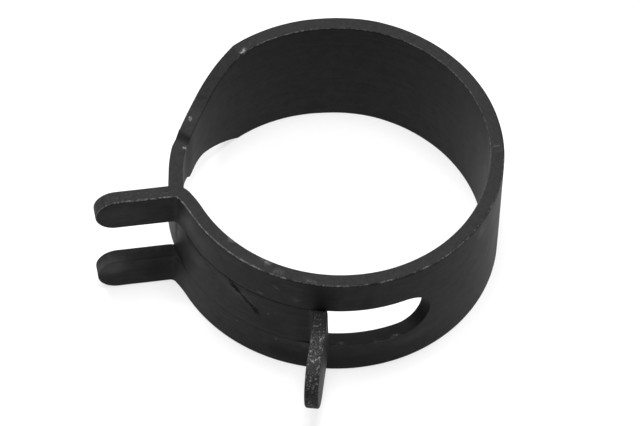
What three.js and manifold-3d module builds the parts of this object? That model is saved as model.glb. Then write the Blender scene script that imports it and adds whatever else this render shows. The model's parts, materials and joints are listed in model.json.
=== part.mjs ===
// A spring band hose clamp: one blanked, rolled and hardened strip of spring steel.
// One end is a fork of two prongs, each ending in a tang. The other end narrows to a tongue,
// which lies in the fork's slot and ends in a single tang between the other two. Pliers
// squeeze the tangs together, the whole strip unbends a little, and the ring opens.
//
// The strip bends along its whole length, so it is divided at evenly spaced lines where it
// flexes. Each length between two lines is one mesh, and a hairline gap lets it turn.
// Millimetres and degrees, +Z up along the hose. The clamp stands on its lower edge.

import * as THREE from "three";
import { mergeVertices } from "three/addons/utils/BufferGeometryUtils.js";
import Module from "manifold-3d";

const wasm = await Module();
wasm.setup();

// ---- Driving dimensions ----

const boreDiameter = 25.6; // inside the relaxed ring
const stripThickness = 1.2;
const bandWidth = 12;
const overlapAngle = 51.6; // round the ring, from the fork's flare to the single tang's bend

const prongWidth = 3.6; // each of the two
const slotLength = 19.9; // from the fork's flare to the centre of the slot's round end
const tongueLength = 22.3; // from the single tang's bend to the shoulder
const tongueClearance = 0.15; // from each edge of the tongue to its prong

const shoulderStep = 0.6; // how much wider the neck is than the tongue, on each edge
const neckLength = 1;
const taperAngle = 28; // of each edge, from the neck out to the full width
const taperFillet = 5; // radius where the neck runs into the taper

const flareLength = 1.8; // the prongs lean outwards before they bend
const flareAngle = 10;
const bendRadius = 0.5; // inside each tang's bend
const forkBendAngle = 59.5;
const singleBendAngle = 86.7;
const forkTangLength = 6.5; // straight part, tip included
const singleTangLength = 7.1;

const flexGap = 0.12; // between two lengths of the strip
const bandLengths = 4; // whole lengths on each side, from the back to the slot's end
const prongLengths = 3; // whole lengths on each side, along the slot

const ringStep = 0.5; // longest facet round the ring
const bendStep = 8; // most degrees that a bend turns at each facet
const tipFacets = 9;
const tipFlat = 0.2; // across the very end of each round tip

// ---- The strip's centre line, rolled and bent ----

const rad = THREE.MathUtils.degToRad;
const neutralRadius = (boreDiameter + stripThickness) / 2;
const bendNeutral = bendRadius + stripThickness / 2;
const halfRing = neutralRadius * rad(180 + overlapAngle / 2); // from the back to either end
const middle = bandWidth / 2;

// Each end's centre line from the back, as arcs that meet smoothly. A length with no angle is
// straight, and one with a negative angle bends outwards.
const ringArc = { length: halfRing, angle: halfRing / neutralRadius };
const bendArc = (degrees) => ({ length: rad(degrees) * bendNeutral, angle: -rad(degrees) });
const forkArcs = [
  ringArc,
  { length: flareLength, angle: -rad(flareAngle) },
  bendArc(forkBendAngle),
  { length: forkTangLength, angle: 0 },
];
const singleArcs = [ringArc, bendArc(singleBendAngle), { length: singleTangLength, angle: 0 }];

// The point and the outward normal at a distance s along the strip from the back. The single
// tang lies towards positive s, on the -X side, and the fork is its mirror image.
function centreLine(s) {
  const side = s < 0 ? -1 : 1;
  const arcs = s < 0 ? forkArcs : singleArcs;
  const point = new THREE.Vector2(0, neutralRadius);
  let heading = Math.PI;
  let left = Math.abs(s);
  for (const { length, angle } of arcs) {
    const covered = Math.min(left, length);
    const turned = angle * (covered / length);
    const chord = turned ? covered * (Math.sin(turned / 2) / (turned / 2)) : covered;
    const along = heading + turned / 2;
    point.x += chord * Math.cos(along);
    point.y += chord * Math.sin(along);
    heading += turned;
    left -= covered;
  }
  const normal = new THREE.Vector2(Math.sin(heading), -Math.cos(heading));
  return {
    point: new THREE.Vector2(side * point.x, point.y),
    normal: new THREE.Vector2(side * normal.x, normal.y),
  };
}

// ---- The blank's outline ----

const slotHalf = middle - prongWidth;
const tongueHalf = slotHalf - tongueClearance;
const neckHalf = tongueHalf + shoulderStep;

const shoulderAt = halfRing - tongueLength;
const neckAt = shoulderAt - shoulderStep; // the step is cut at 45 degrees
const filletAt = neckAt - neckLength;
const filletRun = taperFillet * Math.sin(rad(taperAngle));
const filletRise = taperFillet * (1 - Math.cos(rad(taperAngle)));
const taperRun = (middle - neckHalf - filletRise) / Math.tan(rad(taperAngle));
const taperAt = filletAt - filletRun - taperRun;

// Half the strip's width on the tongue's side, without the tang's round tip.
function tongueSideHalf(s) {
  if (s >= shoulderAt) return tongueHalf;
  if (s >= neckAt) return tongueHalf + (shoulderAt - s);
  const run = filletAt - s;
  if (run <= 0) return neckHalf;
  if (run <= filletRun) return neckHalf + taperFillet - Math.sqrt(taperFillet ** 2 - run ** 2);
  const straight = (run - filletRun) * Math.tan(rad(taperAngle));
  return Math.min(neckHalf + filletRise + straight, middle);
}

// Evenly spaced places from one break to the next, the last one included.
function places(from, to, breaks, step) {
  const marks = [from, ...breaks.filter((b) => b > from && b < to), to];
  const found = [from];
  for (let i = 1; i < marks.length; i++) {
    const length = marks[i] - marks[i - 1];
    const count = Math.max(1, Math.ceil(length / step));
    for (let k = 1; k <= count; k++) found.push(marks[i - 1] + (length * k) / count);
  }
  return found;
}

// ---- One length of strip ----

// Bends a flat bar to the centre line. Each station is { s, low, high }: a distance along the
// strip and the heights of its two edges there, in the order of s.
function formed(stations) {
  const steps = stations.length - 1;
  const geometry = new THREE.BoxGeometry(steps, 1, 1, steps, 1, 1);
  const position = geometry.getAttribute("position");
  for (let i = 0; i < position.count; i++) {
    const station = stations[Math.round(position.getX(i) + steps / 2)];
    const { point, normal } = centreLine(station.s);
    const depth = Math.sign(position.getZ(i)) * (stripThickness / 2);
    const height = position.getY(i) < 0 ? station.low : station.high;
    position.setXYZ(i, point.x + normal.x * depth, point.y + normal.y * depth, height);
  }
  geometry.deleteAttribute("uv");
  geometry.deleteAttribute("normal");
  return mergeVertices(geometry);
}

// A length with both edges the same distance from the middle.
function bandLength(from, to) {
  const breaks = [taperAt, filletAt - filletRun, filletAt, neckAt, shoulderAt];
  return formed(
    places(from, to, breaks, ringStep).map((s) => {
      const half = s > 0 ? tongueSideHalf(s) : middle;
      return { s, low: middle - half, high: middle + half };
    }),
  );
}

// A length of constant width about a height. side is -1 towards the fork.
function plainLength(from, to, side, centre, half) {
  const found = places(from, to, [], ringStep);
  const stations = found.map((d) => ({ s: side * d, low: centre - half, high: centre + half }));
  return formed(side < 0 ? stations.reverse() : stations);
}

// The last length: the end of the ring, the bends and the tang with its round tip.
function tangLength(from, arcs, side, centre, half) {
  const along = [from];
  let arcEnd = 0;
  for (const { length, angle } of arcs) {
    const arcStart = Math.max(arcEnd, from);
    arcEnd += length;
    const facet = angle < 0 ? (rad(bendStep) * length) / -angle : ringStep;
    if (angle) along.push(...places(arcStart, arcEnd, [], facet).slice(1));
  }
  const tipCentre = arcEnd - half;
  along.push(tipCentre);
  const stations = along.map((d) => ({ s: side * d, low: centre - half, high: centre + half }));
  for (let k = 1; k <= tipFacets; k++) {
    const angle = (Math.PI / 2) * (k / tipFacets);
    const reach = Math.max(half * Math.cos(angle), tipFlat / 2);
    const s = side * (tipCentre + half * Math.sin(angle));
    stations.push({ s, low: centre - reach, high: centre + reach });
  }
  return formed(side < 0 ? stations.reverse() : stations);
}

// ---- Booleans ----

function toSolid(geometry) {
  const mesh = new wasm.Mesh({
    numProp: 3,
    vertProperties: new Float32Array(geometry.getAttribute("position").array),
    triVerts: new Uint32Array(geometry.index.array),
  });
  return new wasm.Manifold(mesh);
}

function toGeometry(solid) {
  const { vertProperties, triVerts } = solid.getMesh();
  const geometry = new THREE.BufferGeometry();
  geometry.setAttribute("position", new THREE.BufferAttribute(vertProperties, 3));
  geometry.setIndex(new THREE.BufferAttribute(triVerts, 1));
  geometry.computeVertexNormals();
  return geometry;
}

// The full-width length where the slot ends, with the slot's round end cut through it.
function slotEndLength(from, to, slotEndAt) {
  const punchFacets = 48;
  const punchLength = 6 * stripThickness; // well clear of the curved strip on both sides
  const { point, normal } = centreLine(-slotEndAt);
  const punch = new THREE.CylinderGeometry(slotHalf, slotHalf, punchLength, punchFacets);
  punch.deleteAttribute("uv");
  punch.deleteAttribute("normal");
  punch.rotateZ(Math.atan2(normal.y, normal.x) - Math.PI / 2);
  punch.translate(point.x, point.y, middle);
  const strip = plainLength(from, to, -1, middle, middle);
  return toGeometry(toSolid(strip).subtract(toSolid(mergeVertices(punch))));
}

// ---- The lengths, named from the back to each end ----

const steel = new THREE.MeshStandardMaterial({ color: 0x232323, roughness: 0.55, metalness: 0.6 });
const clamp = new THREE.Group();

function add(name, geometry) {
  geometry.computeVertexNormals();
  const mesh = new THREE.Mesh(geometry, steel);
  mesh.name = name;
  clamp.add(mesh);
}

// The flexing lines lie the same distances from the back on both sides: the slot's round end
// is centred on one of them, and the lengths beside the back and beside the bends are halves.
const slotEndAt = halfRing - slotLength;
const bandPitch = slotEndAt / (bandLengths + 0.5);
const prongPitch = slotLength / (prongLengths + 0.5);
const flexLines = [];
for (let i = 0; i <= bandLengths; i++) flexLines.push(bandPitch * (i + 0.5));
for (let i = 1; i <= prongLengths; i++) flexLines.push(slotEndAt + prongPitch * i);

const halfGap = flexGap / 2;
const starts = flexLines.map((at) => at + halfGap);
const stops = flexLines.slice(1).map((at) => at - halfGap);
const last = flexLines.length - 1;

add("band_back", bandLength(halfGap - flexLines[0], flexLines[0] - halfGap));

const tongueSide = [
  "band_left_1",
  "band_left_2",
  "band_taper",
  "band_neck",
  "tongue_1",
  "tongue_2",
  "tongue_3",
];
tongueSide.forEach((name, i) => add(name, bandLength(starts[i], stops[i])));
add("single_tang", tangLength(starts[last], singleArcs, 1, middle, tongueHalf));

const forkSide = ["band_right_1", "band_right_2", "band_right_3"];
forkSide.forEach((name, i) => add(name, plainLength(starts[i], stops[i], -1, middle, middle)));
add("slot_end", slotEndLength(starts[forkSide.length], stops[forkSide.length], slotEndAt));

const prongs = [
  { name: "upper", centre: bandWidth - prongWidth / 2 },
  { name: "lower", centre: prongWidth / 2 },
];
for (const { name, centre } of prongs) {
  for (let i = 1; i <= prongLengths; i++) {
    const from = starts[bandLengths + i - 1];
    const to = stops[bandLengths + i - 1];
    add(`${name}_prong_${i}`, plainLength(from, to, -1, centre, prongWidth / 2));
  }
  add(`${name}_tang`, tangLength(starts[last], forkArcs, -1, centre, prongWidth / 2));
}

// The origin is under the middle of the whole clamp's outline, on the surface it stands on.
const box = new THREE.Box3().setFromObject(clamp, true);
const centre = box.getCenter(new THREE.Vector3());
clamp.position.set(-centre.x, -centre.y, -box.min.z);

export default clamp;
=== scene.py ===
# A spring band hose clamp, the plain kind that pliers open by squeezing its tangs together.
# It is one strip of black spring steel: blanked flat, rolled round, bent out at its ends,
# hardened and oiled. The strip is laid out flat here as well, then rolled.

import json
import math

import bpy
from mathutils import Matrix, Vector


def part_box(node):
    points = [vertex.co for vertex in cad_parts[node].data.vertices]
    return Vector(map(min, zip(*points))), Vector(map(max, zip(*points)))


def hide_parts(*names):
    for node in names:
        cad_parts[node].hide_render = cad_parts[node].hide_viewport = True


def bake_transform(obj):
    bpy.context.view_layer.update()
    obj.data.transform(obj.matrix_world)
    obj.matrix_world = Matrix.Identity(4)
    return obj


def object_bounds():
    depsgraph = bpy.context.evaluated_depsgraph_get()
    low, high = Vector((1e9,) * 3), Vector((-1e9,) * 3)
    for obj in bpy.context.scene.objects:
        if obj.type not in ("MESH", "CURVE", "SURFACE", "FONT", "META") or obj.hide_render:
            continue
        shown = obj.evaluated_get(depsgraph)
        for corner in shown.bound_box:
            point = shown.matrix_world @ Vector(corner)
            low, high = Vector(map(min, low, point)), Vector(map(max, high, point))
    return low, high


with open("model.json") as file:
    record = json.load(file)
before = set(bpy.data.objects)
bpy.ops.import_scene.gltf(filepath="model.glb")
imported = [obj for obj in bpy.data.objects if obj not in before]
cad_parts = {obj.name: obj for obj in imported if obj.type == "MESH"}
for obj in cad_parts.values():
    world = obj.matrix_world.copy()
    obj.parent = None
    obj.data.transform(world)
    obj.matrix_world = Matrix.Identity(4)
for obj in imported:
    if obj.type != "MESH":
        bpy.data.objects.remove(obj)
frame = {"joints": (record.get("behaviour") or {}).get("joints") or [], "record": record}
cad_low, cad_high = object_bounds()
MM = 0.001


def grey(level):
    return (level, level, level, 1.0)


# ---- The view and the floor -------------------------------------------------------------
# The clamp stands on its lower edge on a pale sheet that glows, so that the ground is white.
# The view comes from far off and high up in front of the tangs, through a long lens.

OUTER_RADIUS = (cad_high.x - cad_low.x) / 2
ring_middle = Vector((0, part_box("band_back")[1].y - OUTER_RADIUS, cad_high.z / 2))

VIEW_AZIMUTH = math.radians(32.2)
VIEW_ELEVATION = math.radians(53.95)
VIEW_DISTANCE = 704 * MM
VIEW_ROLL = math.radians(3.46)
VIEW_AIM = Vector((-0.135, -1.86, -1.08)) * MM
VIEW_LENS = 471.3

back_off = Vector((math.sin(VIEW_AZIMUTH), -math.cos(VIEW_AZIMUTH), 0)) * math.cos(VIEW_ELEVATION)
back_off.z = math.sin(VIEW_ELEVATION)
eye = ring_middle + back_off * VIEW_DISTANCE
camera = bpy.data.objects.new("camera", bpy.data.cameras.new("camera"))
camera.data.lens = VIEW_LENS
camera.location = eye
gaze = (ring_middle + VIEW_AIM - eye).to_track_quat("-Z", "Y")
camera.rotation_euler = gaze.to_euler()
camera.rotation_euler.rotate_axis("Z", VIEW_ROLL)
bpy.context.scene.collection.objects.link(camera)
bpy.context.scene.camera = camera

FLOOR_SIDE = 3.0
FLOOR_GLOW = 0.7
FLOOR_LIGHTNESS = 0.3
FLOOR_ROUGHNESS = 0.9

floor_mesh = bpy.data.meshes.new("floor")
reach = FLOOR_SIDE / 2
floor_corners = [(-reach, -reach, 0), (reach, -reach, 0), (reach, reach, 0), (-reach, reach, 0)]
floor_mesh.from_pydata(floor_corners, [], [(0, 1, 2, 3)])
floor = bpy.data.objects.new("floor", floor_mesh)
bpy.context.scene.collection.objects.link(floor)
floor_paper = bpy.data.materials.new("white_paper")
floor_paper.use_nodes = True
floor_shader = floor_paper.node_tree.nodes["Principled BSDF"]
floor_shader.inputs["Base Color"].default_value = grey(FLOOR_LIGHTNESS)
floor_shader.inputs["Emission Color"].default_value = grey(1)
floor_shader.inputs["Emission Strength"].default_value = FLOOR_GLOW
floor_shader.inputs["Roughness"].default_value = FLOOR_ROUGHNESS
floor_mesh.materials.append(floor_paper)


# ---- The strip's centre line -------------------------------------------------------------
# What the rolls and the bending tool leave: a round ring, and at each end an outward bend.
# Distances along the strip are counted from its back, towards the single tang. The ring has
# settled inwards a little on that side: from where, by where, how far.

THICKNESS = 1.2 * MM
WIDTH = cad_high.z - cad_low.z
OVERLAP = math.radians(51.6)
FLARE_LENGTH = 1.8 * MM
FLARE_ANGLE = math.radians(10)
BEND_RADIUS = 0.5 * MM + THICKNESS / 2
FORK_BEND = math.radians(60.3)
SINGLE_BEND = math.radians(87.4)
FORK_TANG = 6.5 * MM
SINGLE_TANG = 7.1 * MM
SETTLED = (
    (4 * MM, 10 * MM, 0.15 * MM),
    (18 * MM, 25 * MM, 0.11 * MM),
    (25 * MM, 27 * MM, -0.26 * MM),
)
TONGUE_HALF = 2.36 * MM
TONGUE_DROP = 0.01 * MM
SINGLE_TWIST = math.radians(3.5)
TWIST_BEFORE_BEND = 1 * MM
TWIST_PAST_BEND = 2 * MM
PATH_STEP = 0.02 * MM

NEUTRAL_RADIUS = OUTER_RADIUS - THICKNESS / 2
half_ring = NEUTRAL_RADIUS * (math.pi + OVERLAP / 2)
twist_range = (half_ring - TWIST_BEFORE_BEND, half_ring + TWIST_PAST_BEND)
ring_arc = (half_ring, math.pi + OVERLAP / 2)
single_arcs = [ring_arc, (SINGLE_BEND * BEND_RADIUS, -SINGLE_BEND), (SINGLE_TANG, 0)]
fork_arcs = [
    ring_arc,
    (FLARE_LENGTH, -FLARE_ANGLE),
    (FORK_BEND * BEND_RADIUS, -FORK_BEND),
    (FORK_TANG, 0),
]
single_tip = sum(length for length, angle in single_arcs)
fork_tip = sum(length for length, angle in fork_arcs)


def smooth_step(value, low, high):
    share = min(max((value - low) / (high - low), 0), 1)
    return share * share * (3 - 2 * share)


def walk(arcs, side):
    """Points and twists of one half of the centre line, from the back to the tip."""
    at = Vector((ring_middle.x, ring_middle.y + NEUTRAL_RADIUS))
    heading = math.pi if side > 0 else 0.0
    done = 0.0
    spots = []
    for length, angle in arcs:
        steps = math.ceil(length / PATH_STEP)
        for _ in range(steps):
            inward = Vector((-math.sin(heading), math.cos(heading))) * side
            along = side * done
            settled = sum(depth * smooth_step(along, low, high) for low, high, depth in SETTLED)
            twist = SINGLE_TWIST * smooth_step(along, *twist_range)
            spots.append((at + inward * (settled + TONGUE_HALF * math.sin(twist)), twist))
            heading += side * angle / steps / 2
            at += Vector((math.cos(heading), math.sin(heading))) * (length / steps)
            heading += side * angle / steps / 2
            done += length / steps
    return spots


path_spots = walk(fork_arcs, -1)[:0:-1] + walk(single_arcs, 1)
path_curve = bpy.data.curves.new("centre_line", "CURVE")
path_curve.dimensions = "3D"
path_curve.twist_mode = "Z_UP"
path_spline = path_curve.splines.new("POLY")
path_spline.points.add(len(path_spots) - 1)
for spot, (place, twist) in zip(path_spline.points, path_spots):
    spot.co = (place.x, place.y, ring_middle.z, 1)
    spot.tilt = twist
centre_line = bpy.data.objects.new("centre_line", path_curve)
bpy.context.scene.collection.objects.link(centre_line)


# ---- The blank -----------------------------------------------------------------------------
# The strip as it leaves the press, flat: a fork at one end and a tongue at the other. It is
# laid out in blocks of four-sided faces whose rows follow the cut edges.

PRONG_WIDTH = 3.6 * MM
SLOT_LENGTH = 19.9 * MM
TONGUE_LENGTH = 22.3 * MM
SHOULDER_STEP = 0.6 * MM
NECK_LENGTH = 1.0 * MM
TAPER_ANGLE = math.radians(28)
TAPER_FILLET = 5.0 * MM
GRID_STEP = 0.22 * MM
RIM_ROUND = 0.17 * MM
TAPER_ROUND = 0.12 * MM
SINGLE_ROUND = 0.24 * MM
SINGLE_ROUND_FROM = 1 * MM
SLOT_ROUND = 0.03 * MM
SHARP_PRONG_LENGTH = 11.15 * MM
INNER_ROUND_SHARE = 0.6
EDGE_SEGMENTS = 4
WALL_ROWS = 4
SAME_DIGITS = 4
SAME_PLACE = 1e-3 * MM
SAME_COUNT = 1e-6

half_width = WIDTH / 2
slot_half = half_width - PRONG_WIDTH
slot_end_at = SLOT_LENGTH - half_ring
neck_half = TONGUE_HALF + SHOULDER_STEP
shoulder_at = half_ring - TONGUE_LENGTH
neck_at = shoulder_at - SHOULDER_STEP
fillet_at = neck_at - NECK_LENGTH
fillet_run = TAPER_FILLET * math.sin(TAPER_ANGLE)
fillet_rise = TAPER_FILLET * (1 - math.cos(TAPER_ANGLE))
taper_at = fillet_at - fillet_run - (half_width - neck_half - fillet_rise) / math.tan(TAPER_ANGLE)


def tongue_side_half(along):
    """Half the strip's width between the back and the single tang's tip."""
    if along >= shoulder_at:
        return TONGUE_HALF
    if along >= neck_at:
        return TONGUE_HALF + shoulder_at - along
    run = fillet_at - along
    if run <= 0:
        return neck_half
    if run <= fillet_run:
        return neck_half + TAPER_FILLET - math.sqrt(TAPER_FILLET**2 - run**2)
    return min(neck_half + fillet_rise + (run - fillet_run) * math.tan(TAPER_ANGLE), half_width)


def tongue_side_edges(along):
    half = tongue_side_half(along)
    drop = TONGUE_DROP * smooth_step(along, neck_at, shoulder_at)
    return -half - drop, half - drop


def straight(low, high):
    """Two cut edges that run along the strip."""
    return lambda along: (low, high)


def spaced(start, stop, breaks=()):
    """Even steps from start to stop, with a step on each break between them."""
    marks = [start, *sorted(b for b in breaks if start < b < stop), stop]
    found = [start]
    for a, b in zip(marks, marks[1:]):
        count = max(1, math.ceil((b - a) / GRID_STEP - SAME_COUNT))
        found += [a + (b - a) * k / count for k in range(1, count + 1)]
    return found


def line_points(start, stop, steps):
    """Evenly spaced points on a line, with both of its ends."""
    (ax, ay), (bx, by) = start, stop
    return [(ax + (bx - ax) * k / steps, ay + (by - ay) * k / steps) for k in range(steps + 1)]


class Blank:
    """A flat piece of the strip, as faces in (along, across) coordinates."""

    def __init__(self):
        self.points = []
        self.faces = []
        self.known = {}

    def point(self, along, across):
        key = (round(along / MM, SAME_DIGITS), round(across / MM, SAME_DIGITS))
        if key not in self.known:
            self.known[key] = len(self.points)
            self.points.append((along, across))
        return self.known[key]

    def block(self, rows):
        """Adds the faces between rows of points that all have the same length. Where rows
        share a point, the face between them is a triangle."""
        grid = [[self.point(*p) for p in row] for row in rows]
        for low, high in zip(grid, grid[1:]):
            for a, b, c, d in zip(low, high, high[1:], low[1:]):
                (ax, ay), (bx, by), (cx, cy), (dx, dy) = (self.points[i] for i in (a, b, c, d))
                turn = (cx - ax) * (dy - by) - (cy - ay) * (dx - bx)
                face = (a, b, c, d) if turn > 0 else (d, c, b, a)
                self.faces.append(tuple(dict.fromkeys(face)))

    def bar(self, stations, edges, columns):
        """A block between two cut edges, which are functions of the distance along."""
        rows = []
        for along in stations:
            low, high = edges(along)
            rows.append(line_points((along, low), (along, high), columns))
        self.block(rows)

    def round_tip(self, centre, middle, radius, side, columns):
        """A half disc that closes a bar of the same columns, in rows that fan out."""
        rings = columns // 2
        rays = math.ceil(math.pi * radius / GRID_STEP)
        steps = [radius * k / rings for k in range(rings + 1)]
        rows = []
        for i in range(rays + 1):
            angle = math.pi * i / rays
            x, y = side * math.sin(angle), math.cos(angle)
            rows.append([(centre + x * step, middle + y * step) for step in steps])
        self.block(rows)


def edge_round(along, across):
    """How far a cut edge's outer corner is rounded. No corner is rounded more than the single
    tang's, and the edges that the tongue and the lower prong share stay sharp."""
    if abs(across) > half_width - SHOULDER_STEP:
        return RIM_ROUND
    if along > half_ring + SINGLE_ROUND_FROM:
        return SINGLE_ROUND
    if taper_at < along < shoulder_at or (along < -half_ring and across > 0):
        return TAPER_ROUND
    on_tongue = shoulder_at < along < half_ring
    beside_tongue = -half_ring < along < SHARP_PRONG_LENGTH - half_ring
    return 0.0 if across < 0 and (on_tongue or beside_tongue) else SLOT_ROUND


def blank_mesh(name, blank, seams):
    """Gives a blank its thickness. Its cut edges are marked for rounding, but not its seams,
    where the next piece carries on."""
    border = {}
    for face in blank.faces:
        for a, b in zip(face, face[1:] + face[:1]):
            if (b, a) in border:
                del border[(b, a)]
            else:
                border[(a, b)] = True
    rim = sorted({i for edge in border for i in edge})
    flat_count = len(blank.points)
    vertices = [(x, y, THICKNESS / 2) for x, y in blank.points]
    vertices += [(x, y, -THICKNESS / 2) for x, y in blank.points]
    level = {(i, 0): i for i in rim} | {(i, WALL_ROWS): i + flat_count for i in rim}
    for row in range(1, WALL_ROWS):
        for i in rim:
            level[(i, row)] = len(vertices)
            x, y = blank.points[i]
            vertices.append((x, y, THICKNESS * (0.5 - row / WALL_ROWS)))
    faces = list(blank.faces)
    faces += [tuple(i + flat_count for i in reversed(face)) for face in blank.faces]
    for a, b in border:
        for row in range(WALL_ROWS):
            faces.append((level[(a, row)], level[(a, row + 1)], level[(b, row + 1)], level[(b, row)]))
    mesh = bpy.data.meshes.new(name)
    mesh.from_pydata(vertices, [], faces)

    rounding = {}
    for a, b in border:
        ends = [blank.points[a], blank.points[b]]
        if any(all(abs(end[0] - seam) < SAME_PLACE for end in ends) for seam in seams):
            continue
        share = edge_round(*((p + q) / 2 for p, q in zip(*ends))) / SINGLE_ROUND
        rounding[frozenset((a, b))] = share
        rounding[frozenset((a + flat_count, b + flat_count))] = share * INNER_ROUND_SHARE
    weights = mesh.attributes.new("bevel_weight_edge", "FLOAT", "EDGE")
    shares = [rounding.get(frozenset(edge.vertices), 0.0) for edge in mesh.edges]
    weights.data.foreach_set("value", shares)
    return mesh


# ---- Steel -----------------------------------------------------------------------------------
# Hardened spring steel, phosphated black and oiled. The rolled faces are smooth and cloudy,
# the sheared edges are coarser, and their upper corners are bright, partly rubbed and partly
# a painted highlight. Some faces and edges carry painted light and painted shade as well.


class Value:
    """A shader socket that takes part in Python expressions."""

    def __init__(self, nodes, socket):
        self.nodes = nodes
        self.socket = socket

    def maths(self, operation, *others, flip=False):
        terms = [self, *others]
        if flip:
            terms.reverse()
        return self.nodes.add("ShaderNodeMath", {"operation": operation}, terms)

    def __add__(self, other):
        return self.maths("ADD", other)

    def __radd__(self, other):
        return self.maths("ADD", other)

    def __sub__(self, other):
        return self.maths("SUBTRACT", other)

    def __rsub__(self, other):
        return self.maths("SUBTRACT", other, flip=True)

    def __mul__(self, other):
        return self.maths("MULTIPLY", other)

    def __rmul__(self, other):
        return self.maths("MULTIPLY", other)

    def __abs__(self):
        return self.maths("ABSOLUTE")


class Finish:
    """A material's nodes."""

    def __init__(self, name):
        self.material = bpy.data.materials.new(name)
        self.material.use_nodes = True
        self.tree = self.material.node_tree
        self.shader = self.tree.nodes["Principled BSDF"]

    def add(self, kind, settings=None, sockets=(), output=0):
        """Adds a node. Sockets are values or links, by position or by name."""
        node = self.tree.nodes.new(kind)
        for key, setting in (settings or {}).items():
            setattr(node, key, setting)
        pairs = sockets.items() if isinstance(sockets, dict) else enumerate(sockets)
        for key, value in pairs:
            self.feed(node.inputs[key], value)
        return Value(self, node.outputs[output])

    def feed(self, socket, value):
        if isinstance(value, Value):
            self.tree.links.new(value.socket, socket)
        else:
            socket.default_value = value

    def ramp(self, value, low, high):
        """0 up to low and 1 from high, smooth between them."""
        settings = {"interpolation_type": "SMOOTHSTEP"}
        return self.add("ShaderNodeMapRange", settings, [value, low, high, 0.0, 1.0])

    def vector(self, operation, *terms):
        return self.add("ShaderNodeVectorMath", {"operation": operation}, terms)

    def noise(self, place, scale, detail, roughness, output=0):
        sockets = {"Vector": place, "Scale": scale, "Detail": detail, "Roughness": roughness}
        return self.add("ShaderNodeTexNoise", {}, sockets, output)

    def mix(self, share, a, b):
        return self.add("ShaderNodeMix", {"data_type": "RGBA"}, {0: share, 6: a, 7: b}, 2)

    def split(self, vector):
        parts = self.add("ShaderNodeSeparateXYZ", {}, [vector]).socket.node
        return [Value(self, socket) for socket in parts.outputs]

    def total(self, values):
        values = list(values)
        added = values[0]
        for value in values[1:]:
            added = added + value
        return added

    def highest(self, a, b):
        return a.maths("MAXIMUM", b)

    def between(self, value, low, high, soft):
        """1 from low to high, with soft ends."""
        half = soft / 2
        return self.ramp(value, low - half, low + half) - self.ramp(value, high - half, high + half)

    def patch(self, strip, place, size, amount=1, angle=0, soft=1.0):
        """A soft spot on the strip: the amount in its middle and 0 at its edge."""
        sockets = {
            "Vector": strip,
            "Location": place,
            "Rotation": (0, 0, math.radians(angle)),
            "Scale": size,
        }
        near = self.add("ShaderNodeMapping", {"vector_type": "TEXTURE"}, sockets)
        far = self.add("ShaderNodeVectorMath", {"operation": "LENGTH"}, [near], "Value")
        settings = {"interpolation_type": "SMOOTHSTEP"}
        return self.add("ShaderNodeMapRange", settings, [far, 1 - soft, 1.0, amount, 0.0])


# How light each state of the surface is.
BLACK_OXIDE = 0.0025
CLOUDED_OXIDE = 0.0125
SHEARED_STEEL = 0.018
SHEARED_DARK = 0.012
# painted shade on the slot's cut walls, under the upper prong
SHADED_SLOT_WALL = 0.006
# the colour of rubbed steel for flecks and nicks; along the upper corners it is partly a painted
# highlight, and so is the metal share below
WORN_STEEL_AND_EDGE_HIGHLIGHT = 0.20
# handled oxide, and painted light on two of the lighter spots
HANDLED_OXIDE_AND_PAINTED_LIGHT = 0.034
# how dark the smudges and the painted shade are, as a share of the black
SMUDGE_AND_SHADE_SHARE = 0.4
SCORED_SHARE = 0.25
OXIDE_GLOSS = 0.1
WORN_METAL_AND_EDGE_HIGHLIGHT = 0.6
BUMP_STRENGTH = 0.5
BUMP_DEPTH = 0.03 * MM

# How much each noise, wear or mark counts in the sum that it is part of.
MOTTLE = {"cloud": 0.45, "blotch": 0.3, "streak": 0.25}
LEAST_EVEN = 0.4
SCRATCH_SOFT = 0.5
FLECK_SHARE = 0.35
TIP_FLECK_SHARE = 0.85
# the line along the upper outer corner is partly wear and partly a painted highlight
WORN_AND_HIGHLIGHT_LINE = 0.15
WORN_SPOTS = 0.75
DASH_SHARE = 0.5
WHOLE_SHARE = 0.3
INNER_SHARE = 0.5
TANG_INNER_SHARE = 1.2
FINE_DASH_SHARE = 0.15
ROUGHNESS = {"all": 0.40, "cloud": 0.22, "grain": 0.1, "wall": 0.08, "lighter": 0.05, "darker": 0.15}
RELIEF = {"grain": 0.3, "wall": 0.8, "tangs": 2.0, "streak": 0.3}

# Noises: features to a millimetre, finer layers, and how strong those are.
CLOUD = (0.32, 4.0, 0.6)
BLOTCH = (1.1, 3.0, 0.6)
STREAK = (1.5, 4.0, 0.6)
GRAIN = (9.0, 3.0, 0.6)
TORN = (3.2, 5.0, 0.75)
SPECK = (5.0, 5.0, 0.8)
SHOVE = (1.7, 4.0, 0.5)
STREAK_SQUEEZE = (0.1, 1.8, 1.0)
RAGGED = 0.7

# Where a noise lets a mark show: not at all below the first value, fully from the second.
CLOUDED = (0.38, 0.62)
SCORED = (0.36, 0.56)
SHEAR_TORN = (0.35, 0.6)
NEARLY_WHOLE = (0.32, 0.48)
DASHED = (0.52, 0.6)
FINELY_DASHED = (0.45, 0.6)
SPOTTED = (0.42, 0.62)
NICKED = (0.44, 0.58)
FLECKED = (0.56, 0.66)
TIP_FLECKED = (0.52, 0.62)
TIP_BLOTCHED = (0.35, 0.6)

# Which faces are cut walls, and which of their corners are worn and carry the painted highlight.
ON_WALL = (0.3, 0.8)
FLECKED_WALL = (0.4, 0.8)
ON_CORNER = (0.3, 0.85)

# Places along the strip, in millimetres from its back: towards the single tang above zero,
# towards the fork below it. Across is from the middle of the width, up the standing clamp.
FORK_CORNER = -51.0
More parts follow.
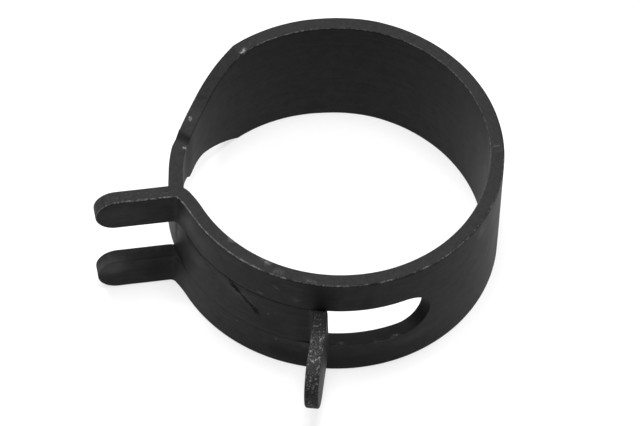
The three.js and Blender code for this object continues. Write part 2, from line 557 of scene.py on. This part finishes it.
# where the upper corners' wear and painted highlight run, on the outer and on the inner corner
WEAR_AND_HIGHLIGHT_TO = -40.0
DASHED_TO = -13.0
INNER_WEAR_AND_HIGHLIGHT = (-31.0, 17.4)
INNER_WEAR_AND_HIGHLIGHT_MORE = (11.0, 17.4)
SINGLE_CORNER = 47.6
TIP_RUN = 4.0
SLOT_OPENS = -20.0
SLOT_EDGE = 2.6
SLOT_SOFT = 0.2
LINE_SOFT = 0.5
TOP_HALF = (1.0, 1.5)
LOW_HALF = (1.5, 2.0)
OUTER_HALF = (0.3, 0.5)
FACE = THICKNESS / MM / 2
RIM = half_width / MM

# Each mark is its middle, along, across and through the strip, and its half lengths.
LIGHTER_SPOTS = (
    ((36.9, 1.0, FACE), (2.4, 2.0, 1), 0.6),
    ((44.6, 0.2, FACE), (0.22, 0.18, 1), 1.2),
    ((53.2, -0.8, -FACE), (1.9, 2.2, 0.6), 1.2),
    ((41.8, 1.2, FACE), (2.2, 1.2, 1), 0.5),
    ((-47.4, 4.0, FACE), (3.4, 2.6, 1), 1.0),
    ((-38.8, 4.3, FACE), (0.5, 0.25, 1), 1.0),
    ((-37.1, 3.4, FACE), (0.6, 0.5, 1), 0.8),
    ((-42.1, -2.8, FACE), (0.2, 0.16, 1), 1.4),
    ((-38.6, -2.9, FACE), (0.22, 0.18, 1), 1.2),
    ((-36.1, -2.9, FACE), (0.9, 0.7, 1), 0.6),
    # a painted highlight on the outer wall
    ((-19.9, 4.75, FACE), (1.0, 1.3, 1), 0.8),
    ((-27.0, -3.4, FACE), (3.0, 1.0, 1), 0.3),
    # painted light on the lower tang's tip, beyond the upper tang's shadow
    ((-56.2, -3.2, FACE), (2.3, 1.5, 1.4), 1.4),
    ((-55.2, 4.2, FACE), (3.2, 1.7, 1), 0.35),
)
SMUDGES_AND_PAINTED_SHADE = (
    # painted shadow of the single tang, on the upper prong beside its root
    ((-35.1, 4.2, FACE), (1.8, 3.4, 1), 0.65),
    ((-31.5, 3.2, FACE), (0.9, 1.4, 1), 0.5),
    # painted shade on the lower prong, darker towards the floor
    ((-38.0, -4.4, FACE), (2.6, 1.2, 1), 0.5),
    # painted shade on the lower tang, under the upper tang
    ((-52.3, -4.0, FACE), (2.0, 2.6, 1.4), 0.8),
    # painted shade along the lower prong, darker towards the floor
    ((-33.0, -4.9, FACE), (10.0, 2.6, 1), 0.6),
    ((33.4, 0.6, FACE), (0.55, 2.6, 1), 1.0),
    ((44.6, -1.0, FACE), (2.2, 1.3, 1), 0.4),
    ((41.6, 1.8, FACE), (0.9, 0.45, 1), 0.7),
)
SCRATCHES = (
    ((42.5, 0.95, FACE), (1.9, 0.26, 1), -41),
    ((41.4, 1.90, FACE), (1.0, 0.42, 1), -38),
    ((43.5, 0.10, FACE), (0.9, 0.40, 1), -48),
    ((37.4, 2.15, FACE), (1.1, 0.10, 1), -4),
    ((38.9, 1.60, FACE), (1.2, 0.05, 1), -12),
)
BRIGHT_NICKS = (
    ((16.95, RIM, -0.45), (0.5, 0.4, 0.4), 3.0),
    ((21.2, 3.75, -0.45), (0.25, 0.2, 0.25), 1.6),
    ((22.8, 3.05, 0.3), (0.2, 0.2, 0.2), 1.3),
    ((23.7, 2.90, 0.15), (0.35, 0.25, 0.25), 1.8),
    ((26.4, 2.30, -0.4), (0.25, 0.2, 0.25), 1.3),
    ((-12.1, RIM, -0.1), (0.09, 0.4, 0.6), 0.35),
    ((-12.6, RIM, 0.1), (0.07, 0.4, 0.5), 0.25),
    ((-40.2, RIM, -0.35), (0.8, 0.4, 0.4), 0.5),
    ((-43.9, RIM, -0.4), (0.6, 0.3, 0.3), 0.6),
    ((-38.8, RIM, 0.1), (0.8, 0.4, 0.5), 0.2),
    ((-36.1, RIM, 0.3), (0.8, 0.4, 0.4), 0.25),
    ((-33.3, -2.5, FACE), (0.6, 0.14, 0.4), 0.3),
    ((-30.3, -2.55, FACE), (0.7, 0.16, 0.4), 0.35),
    ((-28.9, -2.45, FACE), (0.7, 0.12, 0.4), 0.4),
    ((-40.2, 2.85, FACE), (0.32, 0.16, 0.3), 0.8),
)


def blackened_steel():
    finish = Finish("blackened_steel")
    strip = finish.add("ShaderNodeAttribute", {"attribute_name": "strip"}, (), "Vector")
    cut = finish.add("ShaderNodeAttribute", {"attribute_name": "cut"}, (), "Vector")
    along, across, depth = finish.split(strip)
    wall, corner, _ = finish.split(cut)

    cloud = finish.noise(strip, *CLOUD)
    blotch = finish.noise(strip, *BLOTCH)
    streak = finish.noise(finish.vector("MULTIPLY", strip, STREAK_SQUEEZE), *STREAK)
    grain = finish.noise(strip, *GRAIN)
    torn = finish.noise(strip, *TORN)
    speck = finish.noise(strip, *SPECK)
    shove = finish.noise(strip, *SHOVE, output=1)
    ragged = finish.vector("MULTIPLY_ADD", shove, (RAGGED,) * 3, strip)
    ragged = finish.vector("SUBTRACT", ragged, (RAGGED / 2,) * 3)

    to_fork = 0 - along
    on_wall = finish.ramp(wall, *ON_WALL)
    outside = finish.ramp(depth, *OUTER_HALF)
    top = finish.ramp(across, *TOP_HALF)
    low = finish.ramp(0 - across, *LOW_HALF)
    on_fork = finish.ramp(to_fork, 0 - FORK_CORNER, 1 - FORK_CORNER)
    on_tangs = finish.ramp(along, SINGLE_CORNER, SINGLE_CORNER + 1) + on_fork
    on_tip = finish.ramp(along, SINGLE_CORNER, SINGLE_CORNER + TIP_RUN)

    # rolled faces
    mottle = cloud * MOTTLE["cloud"] + blotch * MOTTLE["blotch"] + streak * MOTTLE["streak"]
    oxide = finish.mix(finish.ramp(mottle, *CLOUDED), grey(BLACK_OXIDE), grey(CLOUDED_OXIDE))
    lighter = finish.total(finish.patch(ragged, *spot) for spot in LIGHTER_SPOTS)
    darker = finish.total(finish.patch(ragged, *spot) for spot in SMUDGES_AND_PAINTED_SHADE)
    uneven = LEAST_EVEN + blotch
    # lighter spots: handled oxide, and in two places painted light
    oxide = finish.mix(lighter * uneven, oxide, grey(HANDLED_OXIDE_AND_PAINTED_LIGHT))
    # dark spots: smudges, and in several places painted shade
    oxide = finish.mix(darker * uneven, oxide, grey(BLACK_OXIDE * SMUDGE_AND_SHADE_SHARE))
    scored = finish.total(
        finish.patch(ragged, place, size, angle=angle, soft=SCRATCH_SOFT)
        for place, size, angle in SCRATCHES
    )
    scored = scored * finish.ramp(speck, *SCORED)
    oxide = finish.mix(scored, oxide, grey(BLACK_OXIDE * SCORED_SHARE))

    # sheared edges, with painted shade: darker in the slot, under the upper prong, and on the lower
    # tang, under the upper tang, as dark as the faces there
    sheared = finish.mix(finish.ramp(torn, *SHEAR_TORN), grey(SHEARED_DARK), grey(SHEARED_STEEL))
    slot_shade = finish.ramp(0 - abs(across), -SLOT_EDGE - SLOT_SOFT, -SLOT_EDGE)
    slot_shade = slot_shade * finish.ramp(to_fork, 0 - SLOT_OPENS, LINE_SOFT - SLOT_OPENS)
    sheared = finish.mix(slot_shade, sheared, grey(SHADED_SLOT_WALL))
    lower_tang_shade = low * finish.ramp(to_fork, -LINE_SOFT - FORK_CORNER, 0 - FORK_CORNER)
    colour = finish.mix(on_wall * (1 - lower_tang_shade), oxide, sheared)

    # bright flecks on the tangs' edges, most of all on the single tang's
    flecks = on_tangs * top * finish.ramp(speck, *FLECKED) * FLECK_SHARE
    on_tip = on_tip * finish.ramp(blotch, *TIP_BLOTCHED)
    flecks = flecks + on_tip * finish.ramp(speck, *TIP_FLECKED) * TIP_FLECK_SHARE
    flecks = flecks * finish.ramp(wall, *FLECKED_WALL)

    # corners rubbed bright and given a painted highlight, most of all along the upper outer one beside
    # the fork
    nearly_whole = finish.ramp(blotch, *NEARLY_WHOLE)
    dashes = finish.ramp(blotch, *DASHED)
    fine_dashes = finish.ramp(grain, *FINELY_DASHED) * dashes
    spotted = finish.ramp(speck, *SPOTTED)
    outer_wear_and_highlight = finish.between(along, FORK_CORNER - 1, WEAR_AND_HIGHLIGHT_TO, 1.0) * nearly_whole
    outer_wear_and_highlight = outer_wear_and_highlight * (WORN_AND_HIGHLIGHT_LINE + WORN_SPOTS * spotted)
    dashed = dashes * DASH_SHARE + nearly_whole * WHOLE_SHARE
    outer_wear_and_highlight = outer_wear_and_highlight + finish.between(along, WEAR_AND_HIGHLIGHT_TO, DASHED_TO, 1.5) * dashed * spotted
    outer_wear_and_highlight = outer_wear_and_highlight + on_fork * spotted * WORN_SPOTS
    inner_wear_and_highlight = finish.between(along, *INNER_WEAR_AND_HIGHLIGHT, 2.0) * nearly_whole * spotted * INNER_SHARE
    inner_wear_and_highlight = inner_wear_and_highlight + finish.between(along, *INNER_WEAR_AND_HIGHLIGHT_MORE, 2.0) * spotted * INNER_SHARE
    inner_wear_and_highlight = inner_wear_and_highlight + on_tangs * spotted * dashes * TANG_INNER_SHARE
    wear_and_edge_highlight = outside * outer_wear_and_highlight + (1 - outside) * inner_wear_and_highlight
    wear_and_edge_highlight = wear_and_edge_highlight * top + FINE_DASH_SHARE * fine_dashes
    wear_and_edge_highlight = wear_and_edge_highlight * finish.ramp(corner, *ON_CORNER)

    nicks = finish.total(finish.patch(ragged, *nick) for nick in BRIGHT_NICKS)
    nicks = nicks * finish.ramp(speck, *NICKED)
    bright = finish.highest(finish.highest(wear_and_edge_highlight, flecks), nicks)
    finish.feed(finish.shader.inputs["Base Color"], finish.mix(bright, colour, grey(WORN_STEEL_AND_EDGE_HIGHLIGHT)))
    finish.feed(finish.shader.inputs["Metallic"], bright * WORN_METAL_AND_EDGE_HIGHLIGHT)
    finish.shader.inputs["Specular IOR Level"].default_value = OXIDE_GLOSS
    roughness = ROUGHNESS["all"] + ROUGHNESS["cloud"] * cloud + ROUGHNESS["grain"] * grain
    roughness = roughness + on_wall * ROUGHNESS["wall"] - lighter * ROUGHNESS["lighter"]
    roughness = roughness + (darker + 2 * scored) * ROUGHNESS["darker"]
    finish.feed(finish.shader.inputs["Roughness"], roughness)
    coarse = torn * on_wall * (RELIEF["wall"] + on_tangs * RELIEF["tangs"])
    height = grain * RELIEF["grain"] + coarse + streak * RELIEF["streak"] - scored
    bump = {"Strength": BUMP_STRENGTH, "Distance": BUMP_DEPTH, "Height": height}
    finish.feed(finish.shader.inputs["Normal"], finish.add("ShaderNodeBump", {}, bump))
    return finish.material


steel = blackened_steel()


# ---- Rolling ---------------------------------------------------------------------------------
# Each flat length is rolled and bent to the centre line. Its flat coordinates stay on it, in
# millimetres, for the steel's finish to follow.

DENT_SIZE = 0.35
DENT_DEPTH = 0.02 * MM
TEAR_SIZE = 1.1
TEAR_DEPTH = 0.07 * MM
TEAR_DETAIL = 3.0
NOISE_MIDDLE = 0.5
CRISP_ANGLE = math.radians(50)


def rolling_tree():
    tree = bpy.data.node_groups.new("roll_strip", "GeometryNodeTree")
    tree.is_modifier = True
    face = tree.interface
    face.new_socket("Geometry", in_out="INPUT", socket_type="NodeSocketGeometry")
    face.new_socket("Geometry", in_out="OUTPUT", socket_type="NodeSocketGeometry")
    for name, kind in (
        ("Centre Line", "NodeSocketObject"),
        ("Steel", "NodeSocketMaterial"),
        ("Tip To Back", "NodeSocketFloat"),
        ("Dent Size", "NodeSocketFloat"),
        ("Dent Depth", "NodeSocketFloat"),
        ("Tear Size", "NodeSocketFloat"),
        ("Tear Depth", "NodeSocketFloat"),
    ):
        face.new_socket(name, in_out="INPUT", socket_type=kind)
    nodes, links = tree.nodes, tree.links

    def add(kind, settings=None, sockets=None):
        node = nodes.new(kind)
        for key, setting in (settings or {}).items():
            setattr(node, key, setting)
        for key, value in (sockets or {}).items():
            if hasattr(value, "is_output"):
                links.new(value, node.inputs[key])
            else:
                node.inputs[key].default_value = value
        return node

    def uneven(sockets, size):
        """A noise that swings to both sides of zero."""
        noise = add("ShaderNodeTexNoise", None, sockets).outputs[0]
        swing = add("ShaderNodeMath", {"operation": "SUBTRACT"}, {0: noise, 1: NOISE_MIDDLE})
        scaled = {0: swing.outputs[0], 1: size}
        return add("ShaderNodeMath", {"operation": "MULTIPLY"}, scaled).outputs[0]

    given = add("NodeGroupInput").outputs
    flat = add("GeometryNodeInputPosition").outputs[0]
    place = add("ShaderNodeSeparateXYZ", None, {0: flat}).outputs
    normal = add("GeometryNodeInputNormal").outputs[0]
    lean = add("ShaderNodeSeparateXYZ", None, {0: normal}).outputs
    upright = add("ShaderNodeMath", {"operation": "ABSOLUTE"}, {0: lean[2]}).outputs[0]
    squared = add("ShaderNodeMath", {"operation": "MULTIPLY"}, {0: upright, 1: upright}).outputs[0]
    rest = add("ShaderNodeMath", {"operation": "SUBTRACT"}, {0: 1.0, 1: squared}).outputs[0]
    wall = add("ShaderNodeMath", {"operation": "SQRT"}, {0: rest}).outputs[0]
    # twice the product of a sine and a cosine is 1 halfway round a corner and 0 on either face
    both = add("ShaderNodeMath", {"operation": "MULTIPLY"}, {0: upright, 1: wall}).outputs[0]
    corner_share = add("ShaderNodeMath", {"operation": "MULTIPLY"}, {0: both, 1: 2.0}).outputs[0]
    cut = add("ShaderNodeCombineXYZ", None, {0: wall, 1: corner_share}).outputs[0]
    in_mm = add("ShaderNodeVectorMath", {"operation": "SCALE"}, {0: flat, "Scale": 1 / MM}).outputs[0]
    kept = given["Geometry"]
    for name, value, domain in (("strip", in_mm, "POINT"), ("cut", cut, "FACE")):
        keep = {"data_type": "FLOAT_VECTOR", "domain": domain}
        sockets = {0: kept, "Name": name, "Value": value}
        kept = add("GeometryNodeStoreNamedAttribute", keep, sockets).outputs[0]

    line = add("GeometryNodeObjectInfo", None, {"Object": given["Centre Line"]}).outputs["Geometry"]
    distance = add("ShaderNodeMath", {"operation": "ADD"}, {0: place[0], 1: given["Tip To Back"]})
    follow = {"mode": "LENGTH", "use_all_curves": False, "data_type": "FLOAT"}
    spot = add("GeometryNodeSampleCurve", follow, {"Curves": line, "Length": distance.outputs[0]}).outputs
    sideways = {0: spot["Normal"], 1: spot["Tangent"]}
    sideways = add("ShaderNodeVectorMath", {"operation": "CROSS_PRODUCT"}, sideways).outputs[0]

    wave = {"Vector": in_mm, "Scale": given["Dent Size"]}
    dent = uneven(wave, given["Dent Depth"])
    torn = {"Vector": in_mm, "Scale": given["Tear Size"], "Detail": TEAR_DETAIL}
    tear = uneven(torn, given["Tear Depth"])
    across = {0: tear, 1: lean[1], 2: place[1]}
    across = add("ShaderNodeMath", {"operation": "MULTIPLY_ADD"}, across).outputs[0]
    depth = add("ShaderNodeMath", {"operation": "ADD"}, {0: place[2], 1: dent}).outputs[0]
    offset = {0: spot["Normal"], "Scale": depth}
    offset = add("ShaderNodeVectorMath", {"operation": "SCALE"}, offset).outputs[0]
    lift = {0: sideways, "Scale": across}
    lift = add("ShaderNodeVectorMath", {"operation": "SCALE"}, lift).outputs[0]
    moved = add("ShaderNodeVectorMath", {"operation": "ADD"}, {0: spot["Position"], 1: offset}).outputs[0]
    moved = add("ShaderNodeVectorMath", {"operation": "ADD"}, {0: moved, 1: lift}).outputs[0]
    rolled = add("GeometryNodeSetPosition", None, {"Geometry": kept, "Position": moved})

    shaded = {0: rolled.outputs[0], "Shade Smooth": True}
    smooth = add("GeometryNodeSetShadeSmooth", {"domain": "FACE"}, shaded)
    angle = add("GeometryNodeInputMeshEdgeAngle").outputs[0]
    crisp = add("FunctionNodeCompare", {"operation": "GREATER_THAN"}, {0: angle, 1: CRISP_ANGLE})
    sharp = add(
        "GeometryNodeSetShadeSmooth",
        {"domain": "EDGE"},
        {0: smooth.outputs[0], "Selection": crisp.outputs[0], "Shade Smooth": False},
    )
    real = add("GeometryNodeRealizeInstances", None, {0: sharp.outputs[0]})
    coated = add("GeometryNodeSetMaterial", None, {0: real.outputs[0], "Material": given["Steel"]})
    add("NodeGroupOutput", None, {0: coated.outputs[0]})
    return tree


roll_strip = rolling_tree()


def rolled(name, blank, seams):
    """Rounds a blank's cut edges, rolls it to the centre line and makes it a plain mesh."""
    mesh = blank_mesh(name, blank, seams)
    piece = bpy.data.objects.new(name, mesh)
    bpy.context.scene.collection.objects.link(piece)
    rounding = piece.modifiers.new("edge_rounding", "BEVEL")
    rounding.limit_method = "WEIGHT"
    rounding.width = SINGLE_ROUND
    rounding.segments = EDGE_SEGMENTS
    roller = piece.modifiers.new("roll_strip", "NODES")
    roller.node_group = roll_strip
    items = roll_strip.interface.items_tree
    named = {item.name: item.identifier for item in items if item.in_out == "INPUT"}
    settings = {
        "Centre Line": centre_line,
        "Steel": steel,
        "Tip To Back": fork_tip,
        "Dent Size": DENT_SIZE,
        "Dent Depth": DENT_DEPTH,
        "Tear Size": TEAR_SIZE,
        "Tear Depth": TEAR_DEPTH,
    }
    for key, setting in settings.items():
        roller[named[key]] = setting
    graph = bpy.context.evaluated_depsgraph_get()
    finished = bpy.data.meshes.new_from_object(piece.evaluated_get(graph))
    piece.modifiers.clear()
    piece.data = finished
    finished.name = name
    bpy.data.meshes.remove(mesh)
    return piece


# ---- Flexing lines ---------------------------------------------------------------------------
# The whole strip flexes. Each piece crosses one of the frame's flexing lines, from the middle
# of one rigid length to the middle of the next.

BLEND_INSET = 0.15 * MM


def place_along(joint):
    """How far along the strip a joint's line lies, from the back."""
    x, y, _ = joint["pos_m"]
    turned = math.atan2(ring_middle.x - x, y - ring_middle.y)
    towards_single = joint["axis"][2] < 0
    if towards_single:
        return NEUTRAL_RADIUS * (turned % (2 * math.pi))
    return -NEUTRAL_RADIUS * (-turned % (2 * math.pi))


def on_ring(along, height):
    turned = along / NEUTRAL_RADIUS
    x = ring_middle.x - NEUTRAL_RADIUS * math.sin(turned)
    return Vector((x, ring_middle.y + NEUTRAL_RADIUS * math.cos(turned), height))


def flex(piece, start, stop):
    """Bakes a piece's placement into its mesh."""
    step = math.copysign(BLEND_INSET, stop - start)
    middle = ring_middle.z
    on_ring(start + step, middle)
    on_ring(stop - step, middle)
    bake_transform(piece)


joint_to = {joint["child"]: joint for joint in frame["joints"]}
line_at = {child: place_along(joint) for child, joint in joint_to.items()}
tongue_side = sorted((c for c in line_at if line_at[c] > 0), key=line_at.get)
fork_side = sorted((c for c in line_at if line_at[c] < 0), key=line_at.get, reverse=True)


def spans(children, bend_at):
    """Where each piece starts and stops: halfway between its line and the next ones."""
    lines = [0.0] + [line_at[c] for c in children]
    halfway = [(a + b) / 2 for a, b in zip(lines[1:], lines[2:])]
    edges = [0.0, *halfway, bend_at]
    return dict(zip(children, zip(edges, edges[1:])))


# ---- Band and tongue -------------------------------------------------------------------------
# From the back the band keeps its full width, then tapers by a sharp corner and a hollow curve
# to a neck, and steps in to the tongue, which ends in the single tang.

BAND_COLUMNS = 40
TANG_COLUMNS = 16

for child, (start, stop) in spans(tongue_side, half_ring).items():
    blank = Blank()
    last = child == tongue_side[-1]
    end = single_tip - TONGUE_HALF if last else stop
    breaks = [taper_at, fillet_at - fillet_run, fillet_at, neck_at, shoulder_at, half_ring]
    stations = spaced(start, end, breaks)
    columns = TANG_COLUMNS if last else BAND_COLUMNS
    blank.bar(stations, tongue_side_edges, columns)
    if last:
        blank.round_tip(end, -TONGUE_DROP, TONGUE_HALF, 1, columns)
    piece = rolled("steel_" + child, blank, [start] if last else [start, stop])
    flex(piece, start, stop)
    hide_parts(*frame["record"]["behaviour"]["bodies"][child])
    if start == 0:
        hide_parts("band_back")


# ---- Fork ------------------------------------------------------------------------------------
# The other way from the back the band runs at full width to the slot's round end. The slot
# leaves two prongs, which flare, bend outwards and end in the twin tangs.

PRONG_COLUMNS = 16
SLOT_END_SIDE_ROWS = 12
SLOT_END_ARC_ROWS = 40
LOWER_TANG_SHORT = 0.35 * MM

prongs = {"upper": half_width - PRONG_WIDTH / 2, "lower": PRONG_WIDTH / 2 - half_width}


def slot_end_block(blank, start):
    """The steel round the slot's closed end, in rows that fan out from it."""
    corners = [
        (slot_end_at, half_width),
        (start, half_width),
        (start, -half_width),
        (slot_end_at, -half_width),
    ]
    counts = [SLOT_END_SIDE_ROWS, SLOT_END_ARC_ROWS, SLOT_END_SIDE_ROWS]
    outer = [corners[0]]
    for a, b, count in zip(corners, corners[1:], counts):
        outer += line_points(a, b, count)[1:]
    total = sum(counts)
    rows = []
    for k, outer_point in enumerate(outer):
        angle = math.pi / 2 - math.pi * k / total
        x = slot_end_at + slot_half * math.cos(angle)
        y = slot_half * math.sin(angle)
        rows.append(line_points((x, y), outer_point, PRONG_COLUMNS))
    blank.block(rows)


for child, (start, stop) in spans(fork_side, -half_ring).items():
    nodes = frame["record"]["behaviour"]["bodies"][child]
    last = child == fork_side[-1]
    if start > slot_end_at:
        blank = Blank()
        if stop > slot_end_at:
            blank.bar(spaced(stop, start), straight(-half_width, half_width), BAND_COLUMNS)
        else:
            slot_end_block(blank, start)
            for side in (1, -1):
                prong_edges = straight(side * slot_half, side * half_width)
                blank.bar(spaced(stop, slot_end_at), prong_edges, PRONG_COLUMNS)
        piece = rolled("steel_" + child, blank, [start, stop])
        flex(piece, start, stop)
        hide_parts(*nodes)
        continue
    for name, middle in prongs.items():
        blank = Blank()
        low, high = middle - PRONG_WIDTH / 2, middle + PRONG_WIDTH / 2
        short = LOWER_TANG_SHORT if name == "lower" else 0
        end = PRONG_WIDTH / 2 - fork_tip + short if last else stop
        stations = spaced(end, start, [-half_ring, -half_ring - FLARE_LENGTH])
        blank.bar(stations, straight(low, high), PRONG_COLUMNS)
        if last:
            blank.round_tip(end, middle, PRONG_WIDTH / 2, -1, PRONG_COLUMNS)
        piece = rolled(f"steel_{name}_{child}", blank, [start] if last else [start, stop])
        flex(piece, start, stop)
        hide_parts(*[node for node in nodes if node.startswith(name)])

bpy.data.objects.remove(centre_line)


# ---- Light -------------------------------------------------------------------------------------
# A dim white tent all round, and four large soft lamps: one overhead, two behind the clamp
# and one at the left. Each is given by its height, its turn from the view, its side and power.

TENT_GLOW = 0.03
LAMP_DISTANCE = 0.9
LAMPS = {
    "top": (90, 0, 0.3, 7.9),
    "back_left": (45, -140, 0.4, 7.0),
    "back_right": (45, 140, 0.4, 3.2),
    "left": (20, -90, 0.4, 1.2),
}

world = bpy.data.worlds.new("tent")
world.use_nodes = True
world.node_tree.nodes["Background"].inputs["Color"].default_value = grey(1)
world.node_tree.nodes["Background"].inputs["Strength"].default_value = TENT_GLOW
bpy.context.scene.world = world
bpy.context.scene.view_settings.view_transform = "Standard"

for name, (height, turn, side, power) in LAMPS.items():
    lamp = bpy.data.objects.new(name, bpy.data.lights.new(name, "AREA"))
    lamp.data.size = side
    lamp.data.energy = power
    turned = VIEW_AZIMUTH + math.radians(turn)
    raised = math.radians(height)
    ray = Vector((math.sin(turned), -math.cos(turned), 0)) * math.cos(raised)
    ray.z = math.sin(raised)
    lamp.location = ring_middle + ray * LAMP_DISTANCE
    lamp.rotation_euler = ray.to_track_quat("Z", "Y").to_euler()
    bpy.context.scene.collection.objects.link(lamp)
